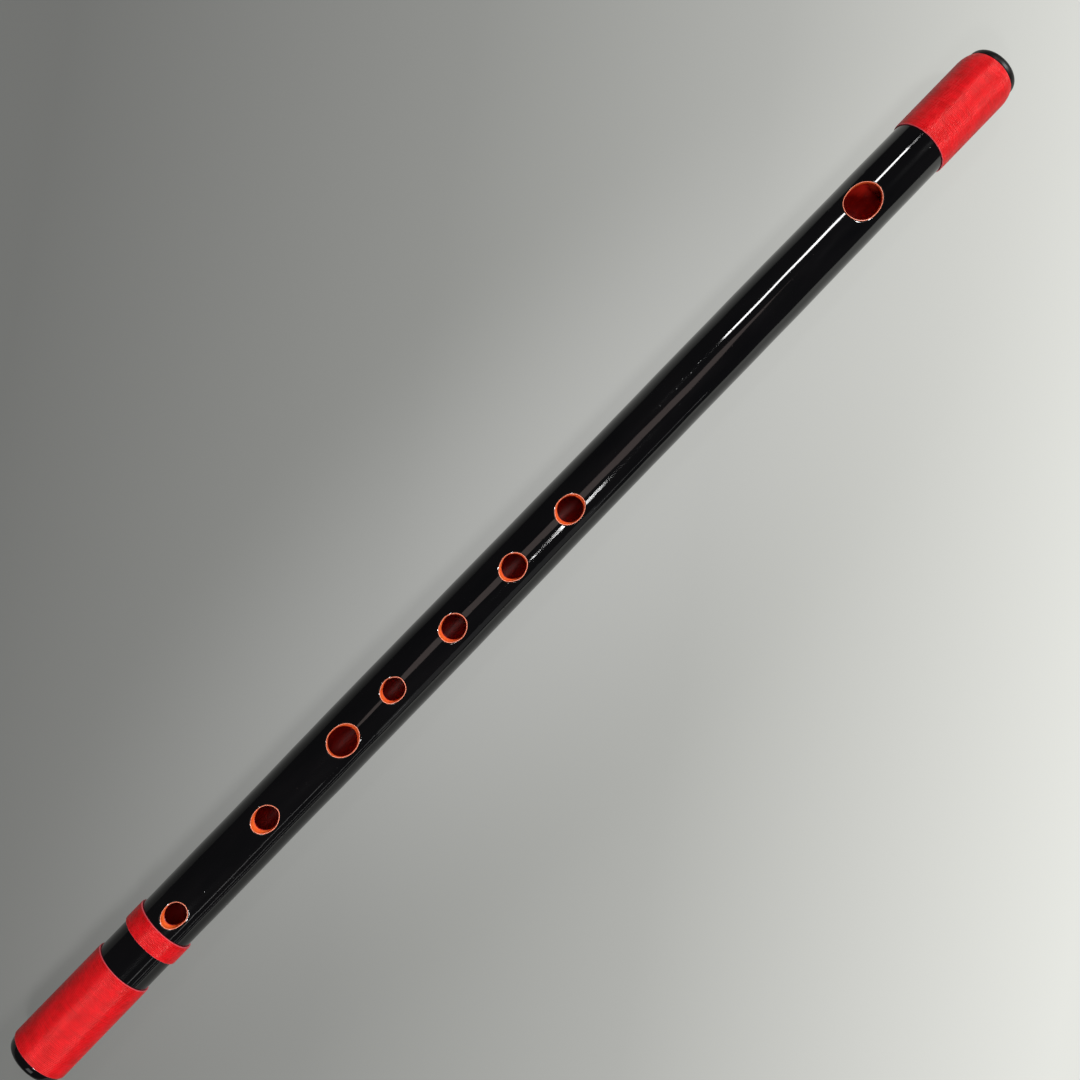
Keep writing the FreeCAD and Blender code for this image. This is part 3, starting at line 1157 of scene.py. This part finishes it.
@dataclass
class HeadCap:
    """The turned cap that closes the head: a low crowned disc and its hidden spigot."""

    tube: Tube
    rim_length: float = 0.8
    rounding: float = 1.8
    crown: float = 0.3
    radius: float = 9.225
    spigot_radius: float = 7.15
    spigot_length: float = 8.0
    columns: int = 128

    def profile(self) -> tuple[np.ndarray, np.ndarray]:
        """The half outline from the spigot's middle out, over the rim and in to the crown's middle.

        Formula: straight runs, a quarter of an ellipse for the corner, and a sphere's cap for the crown.

        Returns:
            Distances from the foot end and radii, in millimetres; the first and last radius are 0.
        """
        end, tip = self.tube.end, self.tube.length
        corner = np.linspace(0, math.pi / 2, 14)
        corner_length = self.tube.cap_length - self.rim_length - self.crown
        flat = self.radius - self.rounding
        ball = (flat**2 + self.crown**2) / (2 * self.crown)
        crown_radius = np.linspace(flat, 0, 16)[1:]
        x = np.concatenate([
            np.full(5, end - self.spigot_length),
            np.linspace(end - self.spigot_length, end, 6)[1:],
            np.full(4, end),
            np.linspace(end, end + self.rim_length, 4)[1:],
            (end + self.rim_length + corner_length * np.sin(corner))[1:],
            tip - (ball - np.sqrt(ball**2 - crown_radius**2)),
        ])
        radius = np.concatenate([
            np.linspace(0, self.spigot_radius, 5),
            np.full(5, self.spigot_radius),
            np.linspace(self.spigot_radius, self.radius, 5)[1:],
            np.full(3, self.radius),
            (flat + self.rounding * np.cos(corner))[1:],
            crown_radius,
        ])
        return x, radius

    def make(self, finish: CapLacquer) -> None:
        """Turns the profile about the axis, closes both poles with one point each, and dresses it.

        Args:
            finish: the cap's lacquer.
        """
        x, radius = self.profile()
        turn = FULL_TURN * np.arange(self.columns) / self.columns
        ring = self.tube.place_round(x[1:-1, None], radius[1:-1, None], turn)
        poles = self.tube.place(x[[0, -1]], np.zeros(2), np.zeros(2))
        points = np.concatenate([ring, poles])
        rows = len(x) - 2
        quads = grid_faces(rows, self.columns, False, True)[:, ::-1]
        here = np.arange(self.columns)
        after = (here + 1) % self.columns
        low = np.full(self.columns, len(ring))
        high = low + 1
        start = (rows - 1) * self.columns
        first_fan = np.stack([low, here, after], axis=1)
        last_fan = np.stack([high, start + after, start + here], axis=1)
        piece = Surface(points, [quads, first_fan, last_fan]).to_object("turned_cap")
        adopt(piece, finish.material(), "cap_lacquer", "head_cap")


@dataclass
class HiddenPieces:
    """The pieces inside the tube, whose shapes stay as they are and which only get their finish."""

    finishes: dict[str, HiddenFinish] = field(default_factory=lambda: {
        "bamboo_tube": HiddenFinish.BAMBOO,
        "wax_seal": HiddenFinish.BEESWAX,
        "head_stopper": HiddenFinish.CORK,
        "head_packing": HiddenFinish.PAPER,
    })

    def dress(self, nodes: dict[str, Object]) -> None:
        """Gives each carried-over node its procedural material.

        Args:
            nodes: the frame's nodes by name.
        """
        for name, finish in self.finishes.items():
            piece = nodes[name]
            material = finish.value.material()
            if not piece.material_slots:
                piece.data.materials.append(material)
            for slot in piece.material_slots:
                slot.material = material
            log.info("%s: %s", name, finish.name.lower())


# --- Studio


def stand(name: str, data: Any, side: Vector, up: Vector, back: Vector, place: Vector) -> Object:
    """Stands a lamp or a camera in the scene.

    Args:
        name: its name.
        data: the lamp's or the camera's own data.
        side: where its X points.
        up: where its Y points.
        back: where its Z points, away from what it faces.
        place: its place, in metres.

    Returns:
        The new object.
    """
    holder = bpy.data.objects.new(name, data)
    bpy.context.scene.collection.objects.link(holder)
    columns = ((*side, 0.0), (*up, 0.0), (*back, 0.0), (*place, 1.0))
    holder.matrix_world = Matrix(columns).transposed()
    return holder


@dataclass(frozen=True)
class SoftBox:
    """A rectangular studio lamp, aimed at a point of the flute."""

    name: str
    place: Triple
    target: Triple
    width: float
    depth: float
    radiance: float
    colour: str = "#FFFFFF"
    twist_deg: float = 0.0

    def make(self) -> None:
        """Builds the lamp, whose power is radiance times pi times its area, as for any flat panel."""
        lamp = bpy.data.lights.new(self.name, "AREA")
        lamp.shape = "RECTANGLE"
        lamp.size = self.width
        lamp.size_y = self.depth
        lamp.energy = self.radiance * math.pi * self.width * self.depth
        lamp.color = linear_colour(self.colour)[:3]
        place = Vector(self.place)
        aim = (place - Vector(self.target)).normalized()
        twist = math.radians(self.twist_deg)
        side = Vector((math.cos(twist), math.sin(twist), 0.0))
        up = aim.cross(side).normalized()
        side = up.cross(aim).normalized()
        stand(self.name, lamp, side, up, aim, place)


@dataclass
class Studio:
    """The floor, the lamps, the room's dim light and the camera."""

    # painted falloff of light: darker towards the foot and +Y, paler towards the head and -Y
    floor_colour: str = "#8A8B88"
    painted_light_tones: tuple[tuple[float, str], ...] = (
        (0.0, "#686967"), (0.35, "#90918E"), (0.62, "#B6B7B3"), (1.0, "#F7F8F2"))
    floor_glow: float = 0.78
    floor_half: float = 4.0
    painted_light_direction: Triple = (0.57, -0.82, 0.0)
    painted_light_span: tuple[float, float] = (-0.18, 0.20)
    # painted pool of light: the floor's glow is brighter in a long band about the flute
    painted_pool_strength: float = 0.11
    painted_pool_shape: Triple = (0.35, 1.0, 0.0)
    painted_pool_span: tuple[float, float] = (0.01, 0.085)
    room_tone: str = "#3E3E40"
    lens_mm: float = 40.74
    sensor_mm: float = 36.0
    camera_lean_deg: float = 4.17
    camera_distance: float = 0.39705
    aim: Triple = (-0.00814, -0.00044, 0.010425)
    shift: tuple[float, float] = (0.0211, 0.0218)
    roll: tuple[float, float] = (0.696004, 0.718038)
    lamps: tuple[SoftBox, ...] = (
        SoftBox("head_key", (2.1, -0.5, 1.45), (0.05, 0.0, 0.0), 0.8, 0.8, 1.0),
        SoftBox("foot_key", (-2.1, -0.5, 1.45), (-0.05, 0.0, 0.0), 0.8, 0.8, 1.1),
        SoftBox("head_thread_lamp", (0.945, -0.42, 1.0), (0.21, 0.0, 0.0), 0.10, 0.24, 190.0),
        SoftBox("foot_thread_lamp", (-0.71, -0.42, 1.0), (-0.21, 0.0, 0.0), 0.10, 0.24, 110.0),
        SoftBox("streak_lamp", (0.6175, 0.50, 1.0), (0.1, 0.0, 0.0), 0.325, 0.12, 27.0),
        SoftBox("foot_spark", (0.147, -0.60, 1.0), (0.05, 0.0, 0.0), 0.010, 0.22, 60.0),
        SoftBox("head_spark", (0.2053, -0.60, 1.0), (0.05, 0.0, 0.0), 0.009, 0.20, 55.0),
        SoftBox("small_spark", (0.098, -0.60, 1.0), (0.05, 0.0, 0.0), 0.007, 0.10, 45.0),
        SoftBox("top_panel", (0.13, -0.02, 1.0), (0.0, 0.0, 0.0), 0.66, 0.34, 0.9, "#FFE8E2", -27.0),
        SoftBox("blind", (0.0, -0.97, 0.25), (0.0, 0.0, 0.0), 0.37, 0.33, 0.24),
        SoftBox("blind_edge", (-0.50, -0.80, 0.59), (-0.15, 0.0, 0.0), 0.44, 0.025, 2.4),
        SoftBox("blind_slit", (-0.38, -0.953, 0.302), (-0.10, 0.0, 0.0), 0.50, 0.016, 2.0),
        SoftBox("low_slit", (-0.36, -0.992, 0.125), (-0.10, 0.0, 0.0), 0.40, 0.014, 1.5),
        SoftBox("head_slit", (0.264, -0.958, 0.287), (0.05, 0.0, 0.0), 0.17, 0.014, 2.2),
    )

    def floor(self) -> None:
        """A wide pale floor at the height that the flute lies on.

        Its tone grows from the foot's side to the head's: a painted falloff of light, darker towards the
        foot and +Y. The part of it that a camera or a mirror sees is mostly its own glow, with a painted
        pool of light in a long band about the flute, and the rest is lit and keeps the flute's shadow.
        """
        corners = np.array([[-1.0, -1.0, 0.0], [1.0, -1.0, 0.0], [1.0, 1.0, 0.0], [-1.0, 1.0, 0.0]])
        points = corners * self.floor_half
        piece = Surface(points, [np.array([[0, 1, 2, 3]])]).to_object("floor")
        material, tree = new_material("pale_paper_floor")
        place = add_node(tree, "TexCoord")
        across = add_node(tree, "VectorMath", {"operation": "DOT_PRODUCT", 1: self.painted_light_direction},
                          {0: place.outputs["Object"]})
        share = add_node(tree, "MapRange",
                         {"From Min": self.painted_light_span[0], "From Max": self.painted_light_span[1]},
                         {"Value": across.outputs["Value"]})
        # painted falloff of light across the floor
        painted_light = add_node(tree, "ValToRGB", {"stops": self.painted_light_tones}, {"Fac": share.outputs[0]})
        path = add_node(tree, "LightPath")
        squeezed = add_node(tree, "VectorMath", {"operation": "MULTIPLY", 1: self.painted_pool_shape},
                            {0: place.outputs["Object"]})
        away = add_node(tree, "VectorMath", {"operation": "LENGTH"},
                        {0: squeezed.outputs["Vector"]})
        # painted pool of light, fading out away from the flute
        painted_pool = add_node(tree, "MapRange",
                        {"interpolation_type": "SMOOTHSTEP", "From Min": self.painted_pool_span[0],
                         "From Max": self.painted_pool_span[1],
                         "To Min": self.painted_pool_strength, "To Max": 0.0}, {"Value": away.outputs["Value"]})
        # the painted falloff plus the painted pool of light
        painted_light_colour = add_node(tree, "Mix",
                            {"data_type": "RGBA", "blend_type": "ADD", 7: (1.0, 1.0, 1.0, 1.0)},
                            {0: painted_pool.outputs[0], 6: painted_light.outputs["Color"]})
        seen = add_node(tree, "Math", {"operation": "MAXIMUM"},
                        {0: path.outputs["Is Camera Ray"], 1: path.outputs["Is Glossy Ray"]})
        through = add_node(tree, "Math", {"operation": "MAXIMUM"},
                           {0: seen.outputs[0], 1: path.outputs["Is Transmission Ray"]})
        glow_share = add_node(tree, "Math", {"operation": "MULTIPLY", 1: self.floor_glow},
                              {0: through.outputs[0]})
        paper = add_node(tree, "BsdfDiffuse", {"Color": linear_colour(self.floor_colour)})
        glow = add_node(tree, "Emission", {"Strength": 1.0}, {"Color": painted_light_colour.outputs[2]})
        both = add_node(tree, "MixShader",
                        links={0: glow_share.outputs[0], 1: paper.outputs[0], 2: glow.outputs[0]})
        add_node(tree, "OutputMaterial", links={"Surface": both.outputs[0]})
        piece.data.materials.append(material)

    def room(self) -> None:
        """One even dim grey all round, the same to every ray."""
        world = bpy.data.worlds.new("room")
        bpy.context.scene.world = world
        world.use_nodes = True
        tree = world.node_tree
        tree.nodes.clear()
        light = add_node(tree, "Background",
                         {"Color": linear_colour(self.room_tone), "Strength": 1.0})
        add_node(tree, "OutputWorld", links={"Surface": light.outputs[0]})

    def camera(self) -> None:
        """The camera, looking down on the flute, which crosses the picture on its diagonal."""
        lean = math.radians(self.camera_lean_deg)
        view = Vector((math.sin(lean), 0.0, -math.cos(lean)))
        level_x = (Vector((1.0, 0.0, 0.0)) - view * math.sin(lean)) / math.cos(lean)
        level_y = Vector((0.0, 1.0, 0.0))
        cosine, sine = self.roll
        right = level_x * cosine - level_y * sine
        up = level_x * sine + level_y * cosine
        place = Vector(self.aim) - view * self.camera_distance
        data = bpy.data.cameras.new("camera")
        data.lens = self.lens_mm
        data.sensor_width = self.sensor_mm
        data.sensor_fit = "HORIZONTAL"
        data.shift_x, data.shift_y = self.shift
        data.clip_start = 0.01
        data.clip_end = 50.0
        bpy.context.scene.camera = stand("camera", data, right, up, -view, place)

    def make(self) -> None:
        """Sets up the studio."""
        self.floor()
        self.room()
        for lamp in self.lamps:
            lamp.make()
        self.camera()
        bpy.context.scene.view_settings.view_transform = "Standard"


HOLES = [
    Hole("finger_hole_1_coat", 64.45, 9.2, 7.6, 1.0, 0.3, 0.0, 11),
    Hole("finger_hole_2_coat", 104.5, 9.9, 8.15, 1.2, 0.3, 0.5, 12),
    Hole("finger_hole_3_coat", 138.65, 11.4, 9.8, 0.2, 1.3, 0.15, 13),
    Hole("finger_hole_4_coat", 160.55, 8.85, 7.7, 1.0, 0.3, -0.05, 14),
    Hole("finger_hole_5_coat", 187.6, 9.8, 8.55, 1.3, 0.3, 0.0, 15),
    Hole("finger_hole_6_coat", 214.6, 10.1, 8.5, 1.4, 0.3, -0.3, 16),
    Hole("finger_hole_7_coat", 240.5, 10.85, 9.05, 1.5, 0.5, -0.5, 17),
    Hole("mouth_hole_coat", 380.6, 14.35, 11.95, 0.2, -1.0, 0.8, 18),
]


def main() -> None:
    """Builds the flute and its studio in order."""
    logging.basicConfig(level=logging.INFO, format="%(message)s")
    seat_low, seat_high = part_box("foot_binding")
    _, cap_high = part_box("head_cap")
    foot_low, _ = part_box("outer_lacquer")
    tube = Tube(foot_x=foot_low.x, axis_z=(seat_low.z + seat_high.z) / 2)
    log.info("tube: foot at x = %.4f m, head at %.4f m, axis at z = %.5f m", foot_low.x, cap_high.x,
             tube.axis_z)
    LacqueredCulm(tube, HOLES).make()
    thread = RedThread().material()
    for binding in (
        ThreadBinding("foot_binding", "foot_thread", tube, 3.0, 40.0, 0.55, 21),
        ThreadBinding("ring_binding", "ring_thread", tube, 51.0, 58.45, 0.7, 22),
        ThreadBinding("head_binding", "head_thread", tube, 411.4, tube.end, 0.5, 23, thinning=0.2),
    ):
        binding.make(thread)
    HeadCap(tube).make(CapLacquer())
    HiddenPieces().dress(frame["nodes"])
    Studio().make()


if __name__ == "__main__":
    main()
